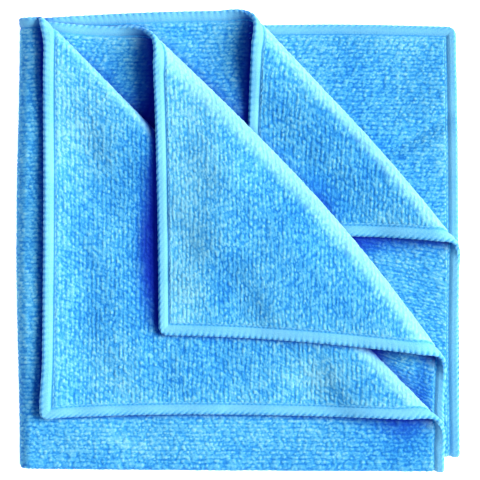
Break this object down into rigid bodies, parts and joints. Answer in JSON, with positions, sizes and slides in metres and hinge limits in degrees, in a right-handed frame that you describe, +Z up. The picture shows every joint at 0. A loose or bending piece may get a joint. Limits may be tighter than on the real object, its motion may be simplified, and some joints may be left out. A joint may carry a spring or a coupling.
{
  "type": "microfibre cleaning cloth, folded in four with turned-back corners",
  "caption": "Sky-blue terry microfibre cloth with an overlocked edge, folded in four, its upper corners turned back over diagonal folds so that every layer shows.",
  "frame": {"origin": "centre of the folded cloth's box, on the surface it rests on", "axes": "+Z up; +X towards the free side edges, away from the left fold; +Y towards the free top edges, away from the bottom fold"},
  "size_m": [0.2026, 0.2106, 0.0179],
  "materials": {
    "cloth": "looped microfibre pile, matt with a soft sheen"
  },
  "bodies": {
    "root": {"cloth": "cloth"}
  },
  "joints": []
}
